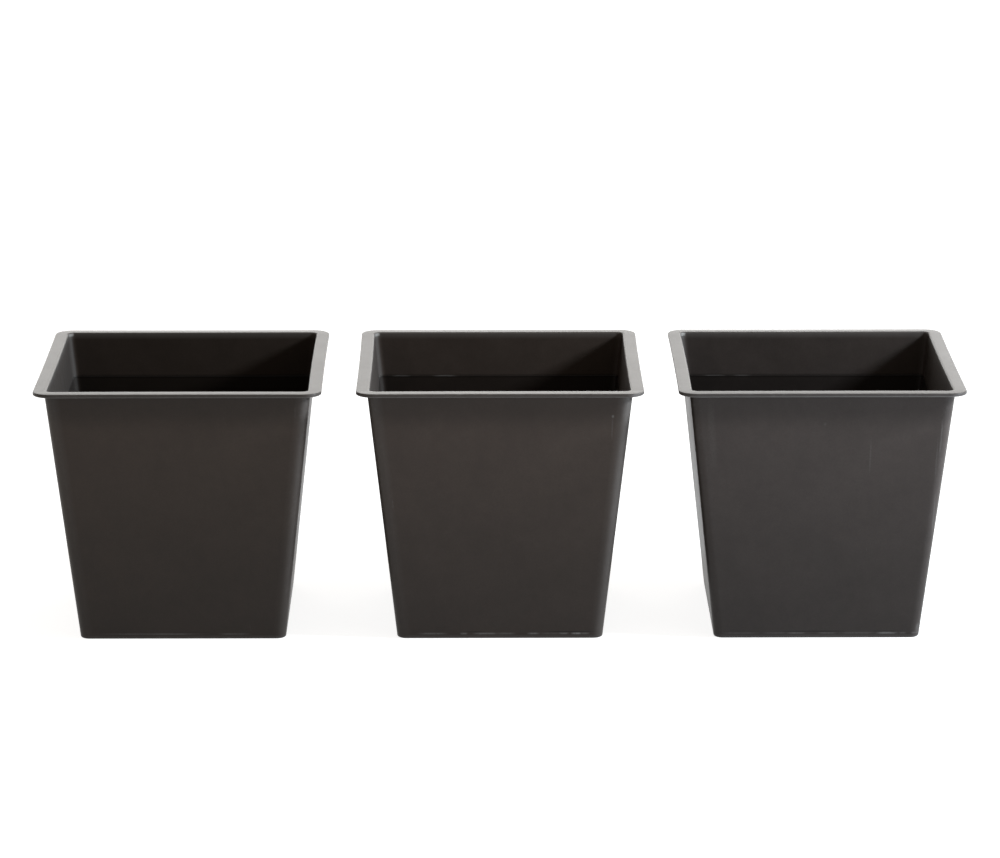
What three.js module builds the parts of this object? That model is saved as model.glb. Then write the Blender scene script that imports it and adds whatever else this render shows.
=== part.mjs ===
import * as THREE from "three";

// Three square plastic planter pots standing in a row. Each pot is one moulded piece: tapered walls,
// a flat base and a rim that stands out all round.
// Millimetres, +Z up. The origin is under the middle pot, X runs along the row and -Y is the front.

// The row
const potNames = ["pot_left", "pot_middle", "pot_right"];
const rimGap = 19.5; // free space between two neighbouring rims

// One pot
const rimWidth = 165; // outside the rim, the same both ways
const potHeight = 152; // floor to the crest of the rim
const baseWidth = 119.6; // outside the walls where they meet the floor
const wallThickness = 1.5; // measured level
const wallCornerRadius = 5.4; // upright corners, outside, seen from above
const smallestCorner = 0.3; // where a fillet leaves almost no corner radius

// The rim
const rimOverhang = 6.4; // from the wall under the rim to the rim's outer edge
const rimCornerRadius = 10; // seen from above
const rimDrop = 0.1; // the rim's outer edge lies this much below its crest
const lipHeight = 2.1; // the rim's outer face
const lipEdgeRadius = 0.6; // rounding of the outer face, above and below
const mouthEdgeRadius = 1.3; // rounding from the crest down into the pot
const neckFillet = 0.8; // under the rim, where it meets the wall

// Inside
const ledgeDepth = 26.1; // from the crest down to a fine ledge all round the walls
const ledgeWidth = 0.3;
const floorThickness = 1.8;
const floorFillet = 3;

// Underside
const baseEdgeRadius = 1.2;
const footWidth = 9; // flat ring that the pot stands on
const footHeight = 0.8; // the base inside the ring lies this much higher
const footDraft = 0.5; // slope of the ring's inner side, measured level
const footCornerRadius = 4;
const gateRadius = 3; // round mark of the moulding gate, in the middle of the base
const gateHeight = 0.4;

// Smoothness
const cornerSteps = 8; // straight stretches in a quarter turn, seen from above
const filletSteps = 4; // the same in the profile's roundings
const mouthSteps = 6;

// Colour of the plastic
const plasticColour = 0x39332f;
const plasticRoughness = 0.45;

// Heights and the tapered walls
const rimHalf = rimWidth / 2;
const baseHalf = baseWidth / 2;
const neckHeight = potHeight - rimDrop - lipHeight;
const ledgeHeight = potHeight - ledgeDepth;
const floorTop = footHeight + floorThickness;
const taper = (rimHalf - rimOverhang - baseHalf) / neckHeight;
const taperAngle = Math.atan(taper);
const slant = Math.hypot(1, taper); // a level distance for each square distance to a wall
const innerCorner = Math.max(wallCornerRadius - wallThickness, smallestCorner);

function outerHalf(z) {
  return baseHalf + taper * z;
}

function innerHalf(z) {
  return outerHalf(z) - wallThickness;
}

function lowerInnerHalf(z) {
  return innerHalf(z) - ledgeWidth;
}

// One station of the pot's profile: half the width there, its height and its corners' radius.
function station(half, z, corner) {
  return { half, z, corner: Math.min(Math.max(corner, half > 0 ? smallestCorner : 0), half) };
}

// An arc of the profile. The corners' radius grows as the profile goes out, so that the arcs
// seen from above keep their centres.
function arc(centreHalf, centreZ, radius, from, to, steps, cornerAt) {
  const stations = [];
  for (let i = 0; i <= steps; i += 1) {
    const angle = from + ((to - from) * i) / steps;
    const half = centreHalf + radius * Math.cos(angle);
    const z = centreZ + radius * Math.sin(angle);
    stations.push(station(half, z, cornerAt(half, z)));
  }
  return stations;
}

const quarter = Math.PI / 2;

function underside() {
  const footInner = baseHalf - baseEdgeRadius - footWidth;
  return [
    station(0, footHeight - gateHeight, 0),
    station(gateRadius, footHeight - gateHeight, gateRadius),
    station(gateRadius, footHeight, gateRadius),
    station(footInner - footDraft, footHeight, footCornerRadius),
    station(footInner, 0, footCornerRadius + footDraft),
  ];
}

function baseEdge() {
  const centre = outerHalf(baseEdgeRadius) - baseEdgeRadius * slant;
  const corner = (half, z) => wallCornerRadius - (outerHalf(z) - half);
  return arc(centre, baseEdgeRadius, baseEdgeRadius, -quarter, -taperAngle, filletSteps, corner);
}

function neck() {
  const z = neckHeight - neckFillet;
  const centre = outerHalf(z) + neckFillet * slant;
  const corner = (half, height) => wallCornerRadius + (half - outerHalf(height));
  return arc(centre, z, neckFillet, Math.PI - taperAngle, quarter, filletSteps, corner);
}

// The rim's outer face, its slightly sloping top and the rounding down into the mouth.
function rim() {
  const edge = Math.min(lipEdgeRadius, lipHeight / 2.1);
  const lipCentre = rimHalf - edge;
  const lipTop = potHeight - rimDrop - edge;
  const mouthZ = potHeight - mouthEdgeRadius;
  const mouthCentre = innerHalf(mouthZ) + mouthEdgeRadius * slant;
  const run = lipCentre - mouthCentre;
  const fall = lipTop - mouthZ;
  const slope = Math.asin((mouthEdgeRadius - edge) / Math.hypot(run, fall)) - Math.atan2(fall, run);
  const wallSide = Math.PI - taperAngle;
  const rimCorner = (half) => rimCornerRadius - (rimHalf - half);
  const mouthCorner = (half, z) => innerCorner + (half - innerHalf(z));
  return [
    ...arc(lipCentre, neckHeight + edge, edge, -quarter, 0, filletSteps, rimCorner),
    ...arc(lipCentre, lipTop, edge, 0, quarter - slope, filletSteps, rimCorner),
    ...arc(mouthCentre, mouthZ, mouthEdgeRadius, quarter - slope, quarter, 1, mouthCorner),
    ...arc(mouthCentre, mouthZ, mouthEdgeRadius, quarter, wallSide, mouthSteps, mouthCorner).slice(1),
  ];
}

function inside() {
  const filletZ = floorTop + floorFillet;
  const centre = lowerInnerHalf(filletZ) - floorFillet * slant;
  const lowerCorner = innerCorner - ledgeWidth;
  const corner = (half, z) => lowerCorner - (lowerInnerHalf(z) - half);
  return [
    station(innerHalf(ledgeHeight), ledgeHeight, innerCorner),
    station(lowerInnerHalf(ledgeHeight - ledgeWidth), ledgeHeight - ledgeWidth, lowerCorner),
    ...arc(centre, filletZ, floorFillet, -taperAngle, -quarter, filletSteps, corner),
    station(0, floorTop, 0),
  ];
}

// A point of a rounded square seen from above. Step by step the points go round the four corners,
// starting at the front right.
function outlinePoint(index, half, corner) {
  const pointsPerCorner = cornerSteps + 1;
  const turn = Math.floor(index / pointsPerCorner) % 4;
  const angle = quarter * (turn - 1 + (index % pointsPerCorner) / cornerSteps);
  const middle = quarter * (turn - 0.5);
  const toCentre = (half - corner) * Math.SQRT2;
  return [
    toCentre * Math.cos(middle) + corner * Math.cos(angle),
    toCentre * Math.sin(middle) + corner * Math.sin(angle),
  ];
}

// Turns the profile on a lathe and moves each ring's points out to a rounded square.
function squareTurn(profile) {
  const points = profile.map(({ half, z }) => new THREE.Vector2(half, z));
  const ringSize = 4 * (cornerSteps + 1);
  const geometry = new THREE.LatheGeometry(points, ringSize);
  const position = geometry.getAttribute("position");
  for (let ring = 0; ring <= ringSize; ring += 1) {
    for (let i = 0; i < profile.length; i += 1) {
      const { half, z, corner } = profile[i];
      const [x, y] = outlinePoint(ring % ringSize, half, corner);
      position.setXYZ(ring * profile.length + i, x, y, z);
    }
  }
  geometry.computeVertexNormals();
  return geometry;
}

function pot(name) {
  const profile = [...underside(), ...baseEdge(), ...neck(), ...rim(), ...inside()];
  const material = new THREE.MeshStandardMaterial({
    color: plasticColour,
    roughness: plasticRoughness,
    metalness: 0,
  });
  const mesh = new THREE.Mesh(squareTurn(profile), material);
  mesh.name = name;
  return mesh;
}

const row = new THREE.Group();
potNames.forEach((name, index) => {
  const mesh = pot(name);
  mesh.position.x = (index - (potNames.length - 1) / 2) * (rimWidth + rimGap);
  row.add(mesh);
});

export default row;
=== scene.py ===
"""Three square charcoal plastic planter pots in a row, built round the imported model."""

import math
from types import SimpleNamespace

import bpy
from mathutils import Matrix, Vector

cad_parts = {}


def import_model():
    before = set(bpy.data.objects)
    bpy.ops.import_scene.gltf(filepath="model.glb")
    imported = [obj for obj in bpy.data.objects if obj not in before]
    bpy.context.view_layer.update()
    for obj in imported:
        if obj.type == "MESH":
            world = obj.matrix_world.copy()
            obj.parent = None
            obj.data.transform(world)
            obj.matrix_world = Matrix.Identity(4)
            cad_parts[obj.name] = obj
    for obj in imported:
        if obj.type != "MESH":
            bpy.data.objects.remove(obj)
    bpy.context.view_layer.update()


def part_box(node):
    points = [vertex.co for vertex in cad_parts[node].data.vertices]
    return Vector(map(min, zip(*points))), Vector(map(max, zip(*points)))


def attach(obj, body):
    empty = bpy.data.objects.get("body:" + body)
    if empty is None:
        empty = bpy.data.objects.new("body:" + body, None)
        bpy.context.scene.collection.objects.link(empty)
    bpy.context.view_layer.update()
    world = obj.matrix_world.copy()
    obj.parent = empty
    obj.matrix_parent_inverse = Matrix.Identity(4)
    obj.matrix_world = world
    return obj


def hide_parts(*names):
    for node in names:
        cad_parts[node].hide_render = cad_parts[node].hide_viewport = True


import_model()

# The frame. Sizes below are in millimetres, and Blender's are in metres.
MM = 0.001
POTS = {"left": "pot_left", "middle": "pot_middle", "right": "pot_right"}


def node_size(name):
    low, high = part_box(name)
    return (high - low) / MM


def node_place(name):
    low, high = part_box(name)
    return Vector(((low.x + high.x) / 2, (low.y + high.y) / 2, low.z))


# One pot
RIM_WIDTH = node_size("pot_middle").x
POT_HEIGHT = node_size("pot_middle").z
BASE_WIDTH = 119.6
WALL = 1.5
WALL_CORNER = 5.4
RIM_OVERHANG = 6.4
RIM_CORNER = 10.0
RIM_DROP = 0.1
LIP_HEIGHT = 2.1
LIP_EDGE = 0.6
MOUTH_EDGE = 1.3
NECK_FILLET = 0.8
LEDGE_DEPTH = 26.1
LEDGE_WIDTH = 0.3
FLOOR_THICKNESS = 1.8
FLOOR_FILLET = 3.0
BASE_EDGE = 1.2
FOOT_WIDTH = 9.0
FOOT_HEIGHT = 0.8
FOOT_DRAFT = 0.5
FOOT_CORNER = 4.0
GATE_RADIUS = 3.0
GATE_HEIGHT = 0.4
SMALLEST_CORNER = 0.3

# Worked out from them
RIM_HALF = RIM_WIDTH / 2
BASE_HALF = BASE_WIDTH / 2
NECK_HEIGHT = POT_HEIGHT - RIM_DROP - LIP_HEIGHT
LEDGE_HEIGHT = POT_HEIGHT - LEDGE_DEPTH
FLOOR_TOP = FOOT_HEIGHT + FLOOR_THICKNESS
FOOT_INNER = BASE_HALF - BASE_EDGE - FOOT_WIDTH
TAPER = (RIM_HALF - RIM_OVERHANG - BASE_HALF) / NECK_HEIGHT
TAPER_ANGLE = math.atan(TAPER)
SLANT = math.hypot(1, TAPER)
INNER_CORNER = WALL_CORNER - WALL
QUARTER = math.pi / 2

# How finely a pot is built
CORNER_STEPS = 10
FILLET_STEPS = 6
WALL_ROWS = 12
SUPPORT = 1.2  # a row this close to each rounding keeps the flat walls flat
BOW = 0.35  # the sides' middles are drawn in this much at the rim and not at all at the base
SIDE_SPOTS = (-0.985, -0.95, -0.9, -0.7, -0.45, -0.2, 0.0, 0.2, 0.45, 0.7, 0.9, 0.95, 0.985)
CORNER_FADE = 0.3  # how much of the corners' wear and painted highlight is left at the first spot beside them
GATE_SQUARE = 45.0  # half the width of the rounded square that gives a circle's points their directions
SHARP_ANGLE = math.radians(35)

# Which part of the rim's outer rounding counts as the lip, as shares of its radius inwards and upwards
LIP_PART = (0.6, 0.8)


def outer_half(z):
    return BASE_HALF + TAPER * z


def inner_half(z):
    return outer_half(z) - WALL


def lower_half(z):
    return inner_half(z) - LEDGE_WIDTH


# A pot's profile is a list of stations (half width, height, corner radius).
def arc(centre_half, centre_z, radius, start, end, steps, corner_at):
    stations = []
    for i in range(steps + 1):
        angle = start + (end - start) * i / steps
        half = centre_half + radius * math.cos(angle)
        z = centre_z + radius * math.sin(angle)
        stations.append((half, z, max(corner_at(half, z), SMALLEST_CORNER)))
    return stations


def wall_rows(half_at, start, end, corner):
    """Even rows of a flat wall, with the first and the last close to the roundings at its ends."""
    inset = math.copysign(SUPPORT, end - start)
    low, high = start + inset, end - inset
    heights = [low + (high - low) * i / WALL_ROWS for i in range(WALL_ROWS + 1)]
    return [(half_at(z), z, corner) for z in heights]


def underside():
    gate_z = FOOT_HEIGHT - GATE_HEIGHT
    return [
        (GATE_RADIUS, gate_z, GATE_RADIUS),
        (GATE_RADIUS, FOOT_HEIGHT, GATE_RADIUS),
        (FOOT_INNER - FOOT_DRAFT, FOOT_HEIGHT, FOOT_CORNER),
        (FOOT_INNER, 0.0, FOOT_CORNER + FOOT_DRAFT),
    ]


def base_edge():
    centre = outer_half(BASE_EDGE) - BASE_EDGE * SLANT

    def corner(half, z):
        return WALL_CORNER - (outer_half(z) - half)
    return arc(centre, BASE_EDGE, BASE_EDGE, -QUARTER, -TAPER_ANGLE, FILLET_STEPS, corner)


def neck():
    z = NECK_HEIGHT - NECK_FILLET
    centre = outer_half(z) + NECK_FILLET * SLANT

    def corner(half, height):
        return WALL_CORNER + (half - outer_half(height))
    return arc(centre, z, NECK_FILLET, math.pi - TAPER_ANGLE, QUARTER, FILLET_STEPS, corner)


def rim():
    lip_centre = RIM_HALF - LIP_EDGE
    lip_top = POT_HEIGHT - RIM_DROP - LIP_EDGE
    mouth_z = POT_HEIGHT - MOUTH_EDGE
    mouth_centre = inner_half(mouth_z) + MOUTH_EDGE * SLANT
    run = lip_centre - mouth_centre
    fall = lip_top - mouth_z
    slope = math.asin((MOUTH_EDGE - LIP_EDGE) / math.hypot(run, fall)) - math.atan2(fall, run)

    def rim_corner(half, _):
        return RIM_CORNER - (RIM_HALF - half)

    def mouth_corner(half, z):
        return INNER_CORNER + (half - inner_half(z))
    lower = arc(lip_centre, NECK_HEIGHT + LIP_EDGE, LIP_EDGE, -QUARTER, 0, FILLET_STEPS, rim_corner)
    upper = arc(lip_centre, lip_top, LIP_EDGE, 0, QUARTER - slope, FILLET_STEPS, rim_corner)
    crest = arc(mouth_centre, mouth_z, MOUTH_EDGE, QUARTER - slope, QUARTER, 1, mouth_corner)
    mouth_end = math.pi - TAPER_ANGLE
    mouth = arc(mouth_centre, mouth_z, MOUTH_EDGE, QUARTER, mouth_end, 2 * FILLET_STEPS, mouth_corner)
    return lower + upper + crest + mouth[1:]


def inside():
    fillet_z = FLOOR_TOP + FLOOR_FILLET
    centre = lower_half(fillet_z) - FLOOR_FILLET * SLANT
    lower_corner = INNER_CORNER - LEDGE_WIDTH

    def corner(half, z):
        return lower_corner - (lower_half(z) - half)
    mouth_end = POT_HEIGHT - MOUTH_EDGE
    ledge = [
        (inner_half(LEDGE_HEIGHT), LEDGE_HEIGHT, INNER_CORNER),
        (lower_half(LEDGE_HEIGHT - LEDGE_WIDTH), LEDGE_HEIGHT - LEDGE_WIDTH, lower_corner),
    ]
    return [
        *wall_rows(inner_half, mouth_end, LEDGE_HEIGHT, INNER_CORNER),
        *ledge,
        *wall_rows(lower_half, LEDGE_HEIGHT - LEDGE_WIDTH, fillet_z, lower_corner),
        *arc(centre, fillet_z, FLOOR_FILLET, -TAPER_ANGLE, -QUARTER, FILLET_STEPS, corner),
    ]


def outer_wall():
    return wall_rows(outer_half, BASE_EDGE, NECK_HEIGHT - NECK_FILLET, WALL_CORNER)


def ring(half, corner):
    """Points of a rounded square seen from above."""
    straight = half - corner
    points = []
    for turn in range(4):
        middle = QUARTER * (turn - 0.5)
        for i in range(CORNER_STEPS + 1):
            angle = QUARTER * (turn - 1 + i / CORNER_STEPS)
            x = straight * math.sqrt(2) * math.cos(middle) + corner * math.cos(angle)
            y = straight * math.sqrt(2) * math.sin(middle) + corner * math.sin(angle)
            points.append((x, y))
        across = QUARTER * turn
        for spot in SIDE_SPOTS:
            x = half * math.cos(across) - spot * straight * math.sin(across)
            y = half * math.sin(across) + spot * straight * math.cos(across)
            points.append((x, y))
    return points


def bowed(x, y, z, half):
    """Draws a side's middle in. The higher up, the more it gives."""
    give = BOW * (z / POT_HEIGHT) ** 2
    return (
        x - math.copysign(give * (1 - (y / half) ** 2), x),
        y - math.copysign(give * (1 - (x / half) ** 2), y),
        z,
    )


def circle(radius):
    """As many points as a ring has, on a circle, each in the direction that it has on a rounded square."""
    directions = [math.atan2(y, x) for x, y in ring(GATE_SQUARE, FOOT_CORNER)]
    return [(radius * math.cos(a), radius * math.sin(a)) for a in directions]


# How strongly each part of a pot shows in its stations' rows
def part_levels():
    outside = [*underside(), *base_edge(), *outer_wall(), *neck(), *rim()]
    stations = [*outside, *inside()]
    levels = {"inside": [], "lower": [], "ledge": [], "rim": [], "lip": [], "base": []}
    mouth_half = MOUTH_EDGE / 3  # the mouth's rounding counts as inside up to this far past the wall
    ledge_middle = LEDGE_HEIGHT - LEDGE_WIDTH / 2
    lip_half = RIM_HALF - LIP_EDGE * LIP_PART[0]
    lip_top = NECK_HEIGHT + LIP_EDGE * LIP_PART[1]
    for row, (half, z, _) in enumerate(stations):
        within = row >= len(outside)
        mouth = not within and z > POT_HEIGHT - MOUTH_EDGE and half < inner_half(z) + mouth_half
        levels["inside"].append(float(within or mouth))
        levels["lower"].append(float(within and z < ledge_middle))
        levels["ledge"].append(float(within and abs(z - ledge_middle) < LEDGE_WIDTH))
        levels["rim"].append(float(not within and not mouth and z > NECK_HEIGHT - NECK_FILLET))
        levels["lip"].append(float(half > lip_half and z < lip_top))
        levels["base"].append(float(not within and z < BASE_EDGE and half > FOOT_INNER))
    return stations, levels


def pot_mesh(name):
    stations, levels = part_levels()
    points = []
    for half, z, corner in stations:
        outline = circle(half) if corner >= half else ring(half, corner)
        points += [bowed(x, y, z, half) for x, y in outline]
    count = len(circle(1.0))
    faces = []
    for row in range(len(stations) - 1):
        for i in range(count):
            a = row * count + i
            b = row * count + (i + 1) % count
            faces.append((a, b, b + count, a + count))
    last = (len(stations) - 1) * count
    points.append((0.0, 0.0, stations[0][1]))
    points.append((0.0, 0.0, FLOOR_TOP))
    under, floor = len(points) - 2, len(points) - 1
    faces += [(under, (i + 1) % count, i) for i in range(count)]
    faces += [(floor, last + i, last + (i + 1) % count) for i in range(count)]
    mesh = bpy.data.meshes.new(name)
    mesh.from_pydata([[c * MM for c in p] for p in points], [], faces)
    for part, rows in levels.items():
        values = [level for level in rows for _ in range(count)]
        values += [rows[0], rows[-1]]
        mesh.attributes.new(part, "FLOAT", "POINT").data.foreach_set("value", values)
    beside = [CORNER_FADE if abs(spot) == SIDE_SPOTS[-1] else 0.0 for spot in SIDE_SPOTS]
    # A corner counts fully at its middle and half at its ends.
    across = [0.5 + 0.5 * math.sin(math.pi * i / CORNER_STEPS) for i in range(CORNER_STEPS + 1)]
    corners = (across + beside) * 4 * len(stations) + [0.0, 0.0]
    mesh.attributes.new("corner", "FLOAT", "POINT").data.foreach_set("value", corners)
    mesh.validate()
    mesh.shade_smooth()
    mesh.set_sharp_from_angle(angle=SHARP_ANGLE)
    return mesh


# Shader helpers
def add(tree, kind, values=None, **settings):
    made = tree.nodes.new(kind)
    for key, value in settings.items():
        setattr(made, key, value)
    for key, value in (values or {}).items():
        if isinstance(value, bpy.types.NodeSocket):
            tree.links.new(value, made.inputs[key])
        else:
            made.inputs[key].default_value = value
    return made


def new_material(name):
    material = bpy.data.materials.new(name)
    material.use_nodes = True
    material.node_tree.nodes.clear()
    return material


# The plastic
# Painted light: the pots are alike, but the left one, farthest from the key lamp, has a darker plastic
# colour, and the right one is painted lighter outside
PLASTIC = {
    "left": (0.0414, 0.0310, 0.0249),
    "middle": (0.0490, 0.0374, 0.0312),
    "right": (0.0455, 0.0374, 0.0340),
}
PLASTIC_GLOSS = 0.16
PLASTIC_ROUGHNESS = 0.39
# Painted light on the outsides: the right pot, nearest the key lamp, is painted lighter
OUTER_PAINTED_LIGHT = {"left": 1.0, "middle": 0.99, "right": 1.05}
# Painted shade: the insides are painted darker than the outsides, most in the left pot, farthest from the
# key lamp
INNER_PAINTED_SHADE = {"left": 0.56, "middle": 0.70, "right": 0.76}
FOOT_PAINTED_SHADE = 0.53  # painted shade: the outside at the floor
FADE_HEIGHT = 128.0  # from this height down, the outside is painted darker towards the floor
FADE_CURVE = 1.5  # 1 is an even change, more keeps the low part dark for longer
RIM_PAINTED_SHADOW = 0.66  # painted shadow of the rim on the outside just under it
NECK_BAND = (127.0, 141.0)  # it gets as dark as that between these heights
# The upright corners are partly rubbed and partly painted with a highlight of the lamps' light on their
# roundings, fading towards the floor
RIGHT_CORNER_WEAR_AND_HIGHLIGHT = {"left": 0.115, "middle": 0.19, "right": 0.02}
LEFT_CORNER_WEAR_AND_HIGHLIGHT = {"left": 0.13, "middle": 0.12, "right": 0.005}
RIM_WEAR = 0.08  # the base's edge has as much
# Painted highlight along the lip's lower rounding, where it catches light from the floor, stronger nearer
# the key lamp
LIP_PAINTED_HIGHLIGHT = {"left": 0.28, "middle": 0.3, "right": 0.4}
MOUTH_PAINTED_LIGHT = 0.09  # painted light: how much lighter the inside is painted at the mouth, where light falls in
MOUTH_DEPTH = 4.5  # it isn't painted lighter this far below the top
LEDGE_PAINTED_SHADE = 0.45  # painted shade along the ledge, which darkens the light its facet catches
LOWER_SHADE = 0.42  # the inside below the ledge is darker and smoother
LOWER_ROUGHNESS = 0.3
WORN_AND_HIGHLIGHT = (0.30, 0.295, 0.285, 1.0)  # the colour where the surface is scratched or rubbed, also used for the painted highlights and light
WORN_ROUGHNESS = 0.25  # added where that colour is fully laid on
LOW_CORNER_SHARE = 0.35  # how much of the corners' wear and painted highlight is left at the floor
CORNER_SWAP = 20.0  # the left corners' wear and painted highlight turn into the right ones' between this far left and right
LEFT_WALL_SHEEN = (0.060, 0.057, 0.055, 1.0)  # painted sheen of the light from the right on the inside's left wall
SHEEN_BAND = (-55.5, -58.0)  # where that wall starts at the floor's height
SHEEN_SHARE = 0.42  # how much of the plastic it hides
LOWER_SHEEN = 0.55  # how much of it is left below the ledge
INNER_CORNER_HIGHLIGHT = 0.05  # a painted highlight along the inside's back left corner
RIM_SMOOTH = 0.5  # how much of the surface's unevenness the rim has
FRONT_BAND = (-72.0, -77.0)  # the front rim starts between these depths
FRONT_POLISH = {"left": -0.05, "middle": -0.075, "right": -0.02}  # the front rims are rubbed smoother
LINE_HEIGHT = 3.1  # a rubbed line just above the base's edge
LINE_HALF = 0.5  # half its width

# Seeded noise: added to the pot's seed, waves for each millimetre, detail, roughness
CLOUD = (0, 0.03, 4.0, 0.6)
PATCH = (10, 0.16, 3.0, 0.55)
GRAIN = (20, 1.1, 2.0, 0.6)
BREAKS = (30, 0.35, 4.0, 0.7)
HAIRS = (50, 1.0, 2.0, 0.5)
STIPPLE = (60, 0.9, 3.0, 0.6)
WAVES = (70, 0.018, 1.0, 0.4)

# What the noise does: from these two of its values to these two results
CLOUD_SHADE = (0.3, 0.7, 0.93, 1.07)
PATCH_SHADE = (0.25, 0.75, 0.95, 1.05)
GRAIN_SHADE = (0.2, 0.8, 0.93, 1.07)
PATCH_ROUGHNESS = (0.25, 0.75, -0.02, 0.025)
BREAK_WEAR = (0.5, 0.72, 0.0, 0.05)
HAIR_WEAR = (0.73, 0.8, 0.0, 0.03)
GRAIN_MARKS = (0.3, 0.6, 0.55, 1.0)

# Fine random scratches are noise drawn out along one direction, which turns from pot to pot.
HAIR_TURN = (0.3, 0.2, 0.5)
HAIR_TURN_STEP = 0.4
HAIR_SCALE = (0.9, 0.9, 0.05)

# How strongly the surface stands up, and how high in millimetres
STIPPLE_BUMP = (0.1, 0.03)
WAVE_BUMP = (0.5, 0.8)

# A drawn line fades between these shares of half its whole length and of its half width
END_FADE = (0.3, 1.1)
SIDE_FADE = (0.4, 1.6)

# Scratches and rubbed spots on each pot's front: from x, z to x, z, half width, strength
MARKS = {
    "left": [
        (67.6, 143.0, 67.4, 135.0, 0.6, 0.05),
        (69.3, 142.0, 69.0, 133.0, 0.5, 0.04),
    ],
    "middle": [
        (64.4, 137.0, 64.0, 122.0, 0.4, 0.07),
        (64.5, 137.3, 64.5, 136.5, 0.6, 0.30),
        (-67.8, 137.0, -67.3, 127.0, 1.0, 0.05),
        (-62.0, 87.0, -61.6, 80.0, 0.4, 0.07),
    ],
    "right": [
        (28.2, 124.0, 27.8, 101.0, 0.4, 0.06),
        (1.2, 132.2, 1.9, 131.8, 0.7, 0.06),
        (69.0, 137.0, 67.6, 110.0, 0.5, 0.12),
        (66.6, 125.0, 65.6, 95.0, 0.4, 0.08),
        (66.4, 93.0, 65.0, 60.0, 0.4, 0.09),
        (58.0, 3.6, 59.0, 9.0, 0.9, 0.10),
        (-64.5, 147.0, -61.5, 103.0, 1.8, 0.03),
    ],
}

# A painted highlight: a bright glint just under the rim in the back left corner of each inside, given as
# the scratches are
CORNER_GLINT = (-74.2, 150.8, -72.0, 150.9, 0.9, 0.6)
CORNER_GLINT_DEPTH = (66.0, 72.0)  # it starts between these depths from the pot's middle

# Painted shade of fine grooves just above the rubbed line: from x to x, strength
GROOVE_SHADOWS = {
    "left": [(-8.0, 20.0, 0.15)],
    "middle": [(-22.0, -8.0, 0.4), (24.0, 58.0, 0.6)],
    "right": [(-24.0, 19.0, 0.65), (30.0, 50.0, 0.35)],
}
GROOVE_RISE = 1.1
GROOVE_HALF = 0.35  # half their width

# Where the rubbed line shows on each pot: from x to x, strength
DASHES = {
    "left": [(-52.0, 16.0, 0.11), (-24.0, 8.0, 0.17), (20.0, 40.0, 0.12)],
    "middle": [
        (-48.0, -30.0, 0.20), (-23.0, -19.0, 0.22), (-16.0, -0.5, 0.27), (-2.0, 9.0, 0.16),
        (16.0, 23.0, 0.28), (23.0, 37.0, 0.09), (34.0, 40.0, 0.26), (41.5, 47.5, 0.50), (47.0, 52.0, 0.22),
    ],
    "right": [
        (-57.0, -32.0, 0.07), (-32.0, -17.0, 0.08), (-17.5, -6.5, 0.16), (0.0, 12.0, 0.10),
        (12.0, 35.0, 0.09), (34.5, 47.0, 0.34), (48.0, 52.0, 0.12), (55.0, 59.5, 0.14),
    ],
}

# Rubbed places along the ledge at the back of the inside: from x to x, strength
LEDGE_DASHES = {
    "left": [],
    "middle": [(-64.5, -53.0, 0.08), (-40.0, -25.0, 0.11)],
    "right": [(-61.0, -47.0, 0.07), (-43.0, -32.0, 0.07)],
}
LEDGE_DASH_HALF = 0.4  # half their width


def number(tree, operation, *values):
    return add(tree, "ShaderNodeMath", dict(enumerate(values)), operation=operation).outputs[0]


def vector(tree, operation, first, second):
    return add(tree, "ShaderNodeVectorMath", {0: first, 1: second}, operation=operation)


def product(tree, first, *others):
    for other in others:
        first = number(tree, "MULTIPLY", first, other)
    return first


def scaled(tree, what, factor):
    return add(tree, "ShaderNodeVectorMath", {0: what, "Scale": factor}, operation="SCALE").outputs[0]


# A Mix node takes numbers at its inputs 2 and 3 and gives one at its output 0.
def mixed(tree, share, first, second):
    return add(tree, "ShaderNodeMix", {0: share, 2: first, 3: second}).outputs[0]


# It takes colours at its inputs 6 and 7 and gives one at its output 2.
def blended(tree, share, first, second):
    return add(tree, "ShaderNodeMix", {0: share, 6: first, 7: second}, data_type="RGBA").outputs[2]


def remap(tree, value, low, high, new_low, new_high):
    limits = {"Value": value, "From Min": low, "From Max": high, "To Min": new_low, "To Max": new_high}
    return add(tree, "ShaderNodeMapRange", limits, interpolation_type="SMOOTHSTEP").outputs[0]


def noise(tree, where, seed, kind):
    offset, scale, detail, roughness = kind
    values = {"Vector": where, "W": seed + offset, "Scale": scale, "Detail": detail, "Roughness": roughness}
    return add(tree, "ShaderNodeTexNoise", values, noise_dimensions="4D").outputs[0]


def bump(tree, height, strength_and_height, **normal):
    strength, millimetres = strength_and_height
    values = {"Height": height, "Strength": strength, "Distance": millimetres * MM, **normal}
    return add(tree, "ShaderNodeBump", values).outputs[0]


def level_of(tree, part):
    return add(tree, "ShaderNodeAttribute", attribute_name=part).outputs["Fac"]


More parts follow.
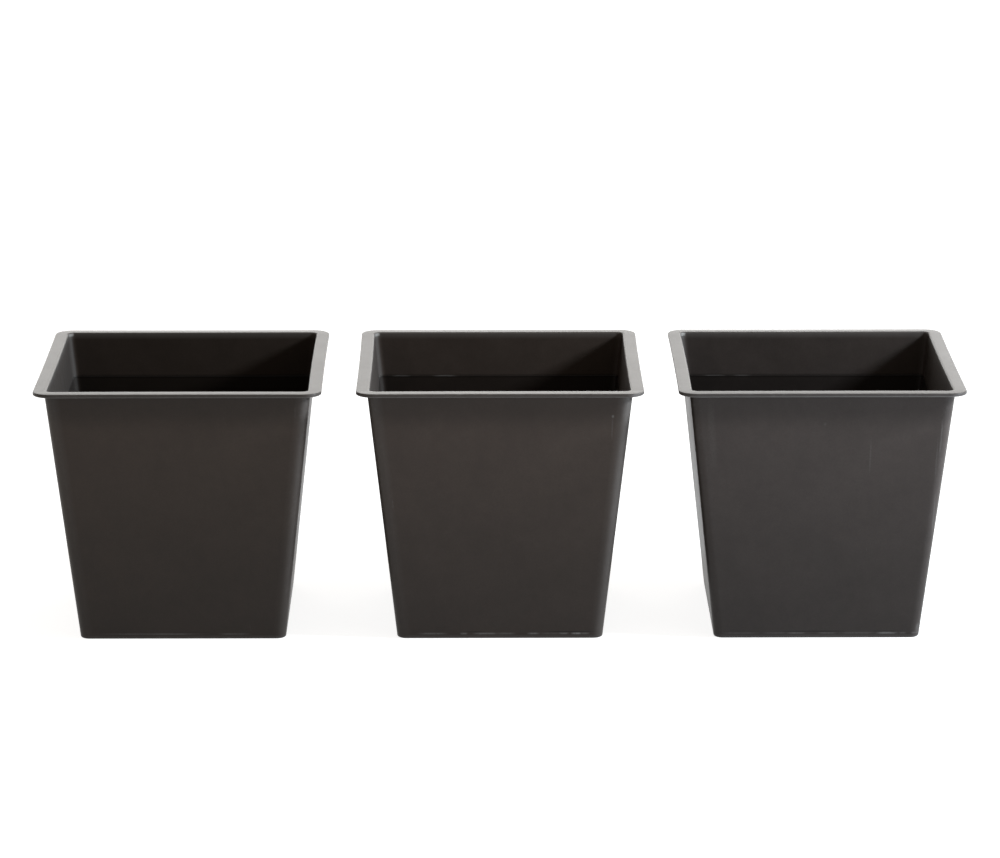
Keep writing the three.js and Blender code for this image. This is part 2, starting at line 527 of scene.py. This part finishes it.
def mark_group():
    """How strongly a soft line shows: fully at its middle, and fading to its sides and ends."""
    group = bpy.data.node_groups.new("mark", "ShaderNodeTree")
    for name in ("Position", "Centre", "Along", "Across"):
        group.interface.new_socket(name, in_out="INPUT", socket_type="NodeSocketVector")
    for name in ("Half Length", "Half Width", "Strength"):
        group.interface.new_socket(name, in_out="INPUT", socket_type="NodeSocketFloat")
    group.interface.new_socket("Strength", in_out="OUTPUT", socket_type="NodeSocketFloat")
    given = group.nodes.new("NodeGroupInput").outputs
    offset = vector(group, "SUBTRACT", given["Position"], given["Centre"]).outputs["Vector"]
    along = vector(group, "DOT_PRODUCT", offset, given["Along"]).outputs["Value"]
    across = vector(group, "DOT_PRODUCT", offset, given["Across"]).outputs["Value"]
    distance = number(group, "ABSOLUTE", along)
    reach = number(group, "ADD", given["Half Length"], given["Half Width"])
    ends = remap(group, number(group, "DIVIDE", distance, reach), *END_FADE, 1.0, 0.0)
    past_end = number(group, "MAXIMUM", number(group, "SUBTRACT", distance, given["Half Length"]), 0.0)
    squares = number(group, "MULTIPLY_ADD", past_end, past_end, number(group, "MULTIPLY", across, across))
    share = number(group, "DIVIDE", number(group, "SQRT", squares), given["Half Width"])
    shown = product(group, remap(group, share, *SIDE_FADE, 1.0, 0.0), ends, given["Strength"])
    add(group, "NodeGroupOutput", {0: shown})
    return group


def level_lines(spans, z, half_width):
    return [(low, z, high, z, half_width, strength) for low, high, strength in spans]


def drawn(tree, group, millimetres, lines):
    total = 0.0
    for x1, z1, x2, z2, half_width, strength in lines:
        length = math.hypot(x2 - x1, z2 - z1)
        along = ((x2 - x1) / length, 0.0, (z2 - z1) / length)
        mark = tree.nodes.new("ShaderNodeGroup")
        mark.node_tree = group
        tree.links.new(millimetres, mark.inputs["Position"])
        mark.inputs["Centre"].default_value = ((x1 + x2) / 2, 0.0, (z1 + z2) / 2)
        mark.inputs["Along"].default_value = along
        mark.inputs["Across"].default_value = (-along[2], 0.0, along[0])
        mark.inputs["Half Length"].default_value = length / 2
        mark.inputs["Half Width"].default_value = half_width
        mark.inputs["Strength"].default_value = strength
        total = number(tree, "MAXIMUM", mark.outputs[0], total)
    return total


def pot_places(tree, seed):
    """Where a point lies on its pot, and the noise that several features share."""
    where = add(tree, "ShaderNodeTexCoord").outputs["Object"]
    millimetres = scaled(tree, where, 1 / MM)
    side, depth, height = add(tree, "ShaderNodeSeparateXYZ", {0: millimetres}).outputs
    inner = level_of(tree, "inside")
    outer = number(tree, "SUBTRACT", 1.0, inner)
    lower = level_of(tree, "lower")
    rim_part = level_of(tree, "rim")
    from_left = number(tree, "MULTIPLY_ADD", height, TAPER, side)
    # How much of the painted sheen on the inside's left wall is kept
    sheen_kept = number(tree, "MULTIPLY_ADD", lower, LOWER_SHEEN - 1.0, 1.0)
    return SimpleNamespace(
        seed=seed,
        millimetres=millimetres,
        side=side,
        depth=depth,
        height=height,
        inner=inner,
        outer=outer,
        lower=lower,
        rim=rim_part,
        edges=number(tree, "MAXIMUM", rim_part, level_of(tree, "base")),
        corner=level_of(tree, "corner"),
        front=product(tree, number(tree, "LESS_THAN", depth, 0.0), outer),
        inner_back=product(tree, number(tree, "GREATER_THAN", depth, 0.0), inner),
        left_wall_sheen=product(tree, remap(tree, from_left, *SHEEN_BAND, 0.0, 1.0), inner, sheen_kept),
        patch=noise(tree, millimetres, seed, PATCH),
        grain=noise(tree, millimetres, seed, GRAIN),
    )


def shade_of(tree, at, pot, group):
    """Uneven tone, painted shade towards the floor and inside, a painted shadow under the rim, painted
    shade at the ledge and in the grooves, and darker from the ledge down.
    """
    cloud = noise(tree, at.millimetres, at.seed, CLOUD)
    uneven = product(
        tree,
        remap(tree, cloud, *CLOUD_SHADE),
        remap(tree, at.patch, *PATCH_SHADE),
        remap(tree, at.grain, *GRAIN_SHADE),
    )
    # Painted shade: the outside darkens towards the floor
    climb = number(tree, "MINIMUM", number(tree, "DIVIDE", at.height, FADE_HEIGHT), 1.0)
    climb = number(tree, "POWER", number(tree, "MAXIMUM", climb, 0.0), FADE_CURVE)
    fade = number(tree, "MULTIPLY_ADD", climb, 1.0 - FOOT_PAINTED_SHADE, FOOT_PAINTED_SHADE)
    # Painted shadow of the rim on the outside just under it
    rim_shadow = remap(tree, at.height, *NECK_BAND, 1.0, RIM_PAINTED_SHADOW)
    # Painted light on the outside, set per pot
    fade = product(tree, fade, rim_shadow, OUTER_PAINTED_LIGHT[pot], at.outer)
    # Painted shade of the inside, set per pot
    fade = number(tree, "MULTIPLY_ADD", at.inner, INNER_PAINTED_SHADE[pot], fade)
    below = number(tree, "MULTIPLY_ADD", at.lower, LOWER_SHADE - 1.0, 1.0)
    # Painted shade along the ledge
    at_ledge = number(tree, "MULTIPLY_ADD", level_of(tree, "ledge"), LEDGE_PAINTED_SHADE - 1.0, 1.0)
    # Painted shade of fine grooves above the rubbed line
    groove_shadows = level_lines(GROOVE_SHADOWS[pot], LINE_HEIGHT + GROOVE_RISE, GROOVE_HALF)
    groove_shadows = product(tree, drawn(tree, group, at.millimetres, groove_shadows), at.front)
    return product(tree, uneven, fade, below, at_ledge, number(tree, "SUBTRACT", 1.0, groove_shadows))


def edge_wear_and_highlights(tree, at, pot):
    """Steady along the upright corners, the rim and the base, with broken patches on top. The corners and
    the lip's lower rounding get painted highlights as well as wear.
    """
    corner = product(tree, at.corner, remap(tree, at.height, 0.0, POT_HEIGHT, LOW_CORNER_SHARE, 1.0))
    left_or_right = (LEFT_CORNER_WEAR_AND_HIGHLIGHT[pot], RIGHT_CORNER_WEAR_AND_HIGHLIGHT[pot])
    corner_wear_and_highlight = remap(tree, at.side, -CORNER_SWAP, CORNER_SWAP, *left_or_right)
    breaks = remap(tree, noise(tree, at.millimetres, at.seed, BREAKS), *BREAK_WEAR)
    broken = product(tree, number(tree, "MAXIMUM", corner, at.edges), breaks)
    # Wear and painted highlight along the upright corners
    steady = product(tree, corner, corner_wear_and_highlight)
    steady = number(tree, "MAXIMUM", steady, product(tree, at.edges, RIM_WEAR))
    # Painted highlight along the lip's lower rounding
    steady = number(tree, "MAXIMUM", steady, product(tree, level_of(tree, "lip"), LIP_PAINTED_HIGHLIGHT[pot]))
    return product(tree, number(tree, "ADD", broken, steady), at.outer)


def random_scratches(tree, at):
    turn_x, turn_y, turn_z = HAIR_TURN
    thin = {
        "Vector": at.millimetres,
        "Rotation": (turn_x, turn_y, turn_z + HAIR_TURN_STEP * at.seed),
        "Scale": HAIR_SCALE,
    }
    turned = add(tree, "ShaderNodeMapping", thin).outputs[0]
    return remap(tree, noise(tree, turned, at.seed, HAIRS), *HAIR_WEAR)


def wear_and_highlights(tree, at, pot, group):
    """How much of the surface takes the worn colour, from 0 to 1: scratches and rubbed places, and painted
    highlights and light.
    """
    def shown(lines):
        return drawn(tree, group, at.millimetres, lines)
    # Painted light inside at the mouth
    mouth = remap(tree, at.height, POT_HEIGHT - MOUTH_DEPTH, POT_HEIGHT - MOUTH_EDGE, 0.0, MOUTH_PAINTED_LIGHT)
    rubbed_and_lit = number(tree, "MULTIPLY_ADD", mouth, at.inner, edge_wear_and_highlights(tree, at, pot))
    ledge_lines = level_lines(LEDGE_DASHES[pot], LEDGE_HEIGHT, LEDGE_DASH_HALF)
    worn_and_highlit = number(tree, "MAXIMUM", rubbed_and_lit, product(tree, shown(ledge_lines), at.inner_back))
    # Painted highlight along the inside's back left corner
    corner_highlight = product(tree, at.corner, at.left_wall_sheen, at.inner_back, INNER_CORNER_HIGHLIGHT)
    worn_and_highlit = number(tree, "ADD", worn_and_highlit, corner_highlight)
    worn_and_highlit = number(tree, "ADD", worn_and_highlit, random_scratches(tree, at))
    front_lines = MARKS[pot] + level_lines(DASHES[pot], LINE_HEIGHT, LINE_HALF)
    marks = product(tree, shown(front_lines), at.front, remap(tree, at.grain, *GRAIN_MARKS))
    # Painted highlight: a glint in the inside's back left corner
    in_corner = remap(tree, at.depth, *CORNER_GLINT_DEPTH, 0.0, 1.0)
    spot = product(tree, shown([CORNER_GLINT]), at.inner, in_corner)
    return number(tree, "MAXIMUM", worn_and_highlit, number(tree, "MAXIMUM", marks, spot))


def roughness_of(tree, at, pot, worn_and_highlit, smooth):
    roughness = product(tree, remap(tree, at.patch, *PATCH_ROUGHNESS), smooth)
    polish = product(tree, remap(tree, at.depth, *FRONT_BAND, 0.0, FRONT_POLISH[pot]), at.rim)
    roughness = number(tree, "ADD", number(tree, "ADD", roughness, polish), PLASTIC_ROUGHNESS)
    roughness = mixed(tree, at.lower, roughness, LOWER_ROUGHNESS)
    return number(tree, "MULTIPLY_ADD", worn_and_highlit, WORN_ROUGHNESS, roughness)


def plastic(name, seed, pot, group):
    material = new_material(name)
    tree = material.node_tree
    at = pot_places(tree, seed)
    worn_and_highlit = wear_and_highlights(tree, at, pot, group)
    colour = scaled(tree, PLASTIC[pot], shade_of(tree, at, pot, group))
    # Painted sheen on the inside's left wall
    colour = blended(tree, product(tree, at.left_wall_sheen, SHEEN_SHARE), colour, LEFT_WALL_SHEEN)
    # Scratches, rubbed places and painted highlights
    colour = blended(tree, worn_and_highlit, colour, WORN_AND_HIGHLIGHT)
    smooth = number(tree, "MULTIPLY_ADD", at.rim, RIM_SMOOTH - 1.0, 1.0)
    stipple = product(tree, noise(tree, at.millimetres, at.seed, STIPPLE), smooth)
    waves = noise(tree, at.millimetres, at.seed, WAVES)
    normal = bump(tree, waves, WAVE_BUMP, Normal=bump(tree, stipple, STIPPLE_BUMP))
    shader = add(tree, "ShaderNodeBsdfPrincipled", {
        "Base Color": colour,
        "Roughness": roughness_of(tree, at, pot, worn_and_highlit, smooth),
        "Normal": normal,
        "Specular IOR Level": PLASTIC_GLOSS,
    })
    add(tree, "ShaderNodeOutputMaterial", {"Surface": shader.outputs[0]})
    return material


# The camera stands where the photograph was taken. The aim is the point of the row that it looks at.
CAMERA_FOCAL = 4447.2  # in pixels of an image 1000 wide
IMAGE_WIDTH = 1000
SENSOR_WIDTH = 36.0
CAMERA_DISTANCE = 2621.1
CAMERA_PITCH = math.radians(14.1965)
CAMERA_TURN = math.radians(0.3636)
AIM_SIDE = 0.41
AIM_HEIGHT = 110.7


def camera():
    data = bpy.data.cameras.new("camera")
    data.sensor_fit = "HORIZONTAL"
    data.sensor_width = SENSOR_WIDTH
    data.lens = CAMERA_FOCAL / IMAGE_WIDTH * SENSOR_WIDTH
    piece = bpy.data.objects.new("camera", data)
    bpy.context.scene.collection.objects.link(piece)
    forward = Vector((0, math.cos(CAMERA_PITCH), -math.sin(CAMERA_PITCH)))
    eye = Vector((AIM_SIDE, 0, AIM_HEIGHT)) - CAMERA_DISTANCE * forward
    turn = Matrix.Rotation(-CAMERA_TURN, 3, "Z")
    piece.location = turn @ eye * MM
    piece.rotation_euler = (turn @ forward).to_track_quat("-Z", "Y").to_euler()
    bpy.context.scene.camera = piece


# Lights and background, with places and sizes in metres
KEY_PLACE = Vector((1.38, -0.24, 0.87))
KEY_SIZE = (0.30, 0.25)
KEY_POWER = 43.0
KEY_COLOUR = (0.91, 1.0, 1.08)
CARD_PLACE = Vector((0.8, -0.62, 0.085))  # low beside the camera, so that it lights no inside
CARD_SIZE = (0.7, 0.14)
CARD_POWER = 4.1
CARD_COLOUR = (0.86, 1.0, 1.16)
BACK_POWER = 98.0
BACK_SIZE = (5.4, 2.1)
BACK_PLACE = Vector((0.0, 3.5, 1.15))
BACK_COLOUR = (1.012, 1.0, 0.965)
ROW_MIDDLE = Vector((0.0, 0.0, 0.1))
FILL = 0.36  # how much light the background gives the pots from all round
FILL_COLOUR = (1.15, 1.0, 0.85, 1.0)
FRONT_LEVEL = 0.1  # how bright the seen background is in front of the row
BACK_RISE = (-0.3, 0.4)  # it rises to full brightness between these values of a direction's Y
WHITE = (1.0, 1.0, 1.0, 1.0)
FLOOR_COLOUR = (0.43, 0.43, 0.43, 1.0)
FLOOR_WHITE = 0.86  # how much the floor shines by itself where it is seen
FLOOR_REACH = 12.0  # to the front and to both sides
FLOOR_BACK = 3.6  # beyond it the back lamp wouldn't light the floor


def area_lamp(name, place, target, size, power, colour):
    data = bpy.data.lights.new(name, "AREA")
    data.energy = power
    data.color = colour
    data.shape = "RECTANGLE"
    data.size, data.size_y = size
    lamp = bpy.data.objects.new(name, data)
    bpy.context.scene.collection.objects.link(lamp)
    lamp.location = place
    lamp.rotation_euler = (target - place).to_track_quat("-Z", "Y").to_euler()
    lamp.visible_camera = False
    return lamp


def seen_background(tree):
    """Two switches: for rays from the camera, and for these and the mirrored or transmitted ones."""
    path = add(tree, "ShaderNodeLightPath").outputs
    either = number(tree, "MAXIMUM", path["Is Camera Ray"], path["Is Glossy Ray"])
    return path["Is Camera Ray"], number(tree, "MAXIMUM", either, path["Is Transmission Ray"])


def world():
    made = bpy.data.worlds.new("studio")
    bpy.context.scene.world = made
    made.use_nodes = True
    tree = made.node_tree
    tree.nodes.clear()
    from_camera, seen = seen_background(tree)
    direction = add(tree, "ShaderNodeTexCoord").outputs["Generated"]
    towards_back = add(tree, "ShaderNodeSeparateXYZ", {0: direction}).outputs["Y"]
    level = remap(tree, towards_back, *BACK_RISE, FRONT_LEVEL, 1.0)
    shown = number(tree, "MAXIMUM", level, from_camera)
    strength = mixed(tree, seen, FILL, shown)
    colour = blended(tree, seen, FILL_COLOUR, WHITE)
    background = add(tree, "ShaderNodeBackground", {"Color": colour, "Strength": strength})
    add(tree, "ShaderNodeOutputWorld", {"Surface": background.outputs[0]})


def floor():
    mesh = bpy.data.meshes.new("floor")
    reach, back = FLOOR_REACH, FLOOR_BACK
    corners = [(-reach, -reach, 0), (reach, -reach, 0), (reach, back, 0), (-reach, back, 0)]
    mesh.from_pydata(corners, [], [(0, 1, 2, 3)])
    piece = bpy.data.objects.new("floor", mesh)
    bpy.context.scene.collection.objects.link(piece)
    material = new_material("pale_floor")
    tree = material.node_tree
    _, seen = seen_background(tree)
    lit = add(tree, "ShaderNodeBsdfDiffuse", {"Color": FLOOR_COLOUR})
    strength = number(tree, "MULTIPLY", seen, FLOOR_WHITE)
    white = add(tree, "ShaderNodeEmission", {"Color": WHITE, "Strength": strength})
    both = add(tree, "ShaderNodeAddShader", {0: lit.outputs[0], 1: white.outputs[0]})
    add(tree, "ShaderNodeOutputMaterial", {"Surface": both.outputs[0]})
    mesh.materials.append(material)


marks_group = mark_group()
for seed, (body, node) in enumerate(POTS.items(), start=1):
    material = plastic("charcoal_plastic_" + body, seed, body, marks_group)
    mesh = pot_mesh(node + "_fine")
    mesh.materials.append(material)
    piece = bpy.data.objects.new(node + "_fine", mesh)
    bpy.context.scene.collection.objects.link(piece)
    piece.location = node_place(node)
    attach(piece, body)
    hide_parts(node)

camera()
world()
floor()
area_lamp("key", KEY_PLACE, ROW_MIDDLE, KEY_SIZE, KEY_POWER, KEY_COLOUR)
area_lamp("card", CARD_PLACE, ROW_MIDDLE, CARD_SIZE, CARD_POWER, CARD_COLOUR)
area_lamp("back", BACK_PLACE, ROW_MIDDLE, BACK_SIZE, BACK_POWER, BACK_COLOUR)
bpy.context.scene.view_settings.view_transform = "Standard"
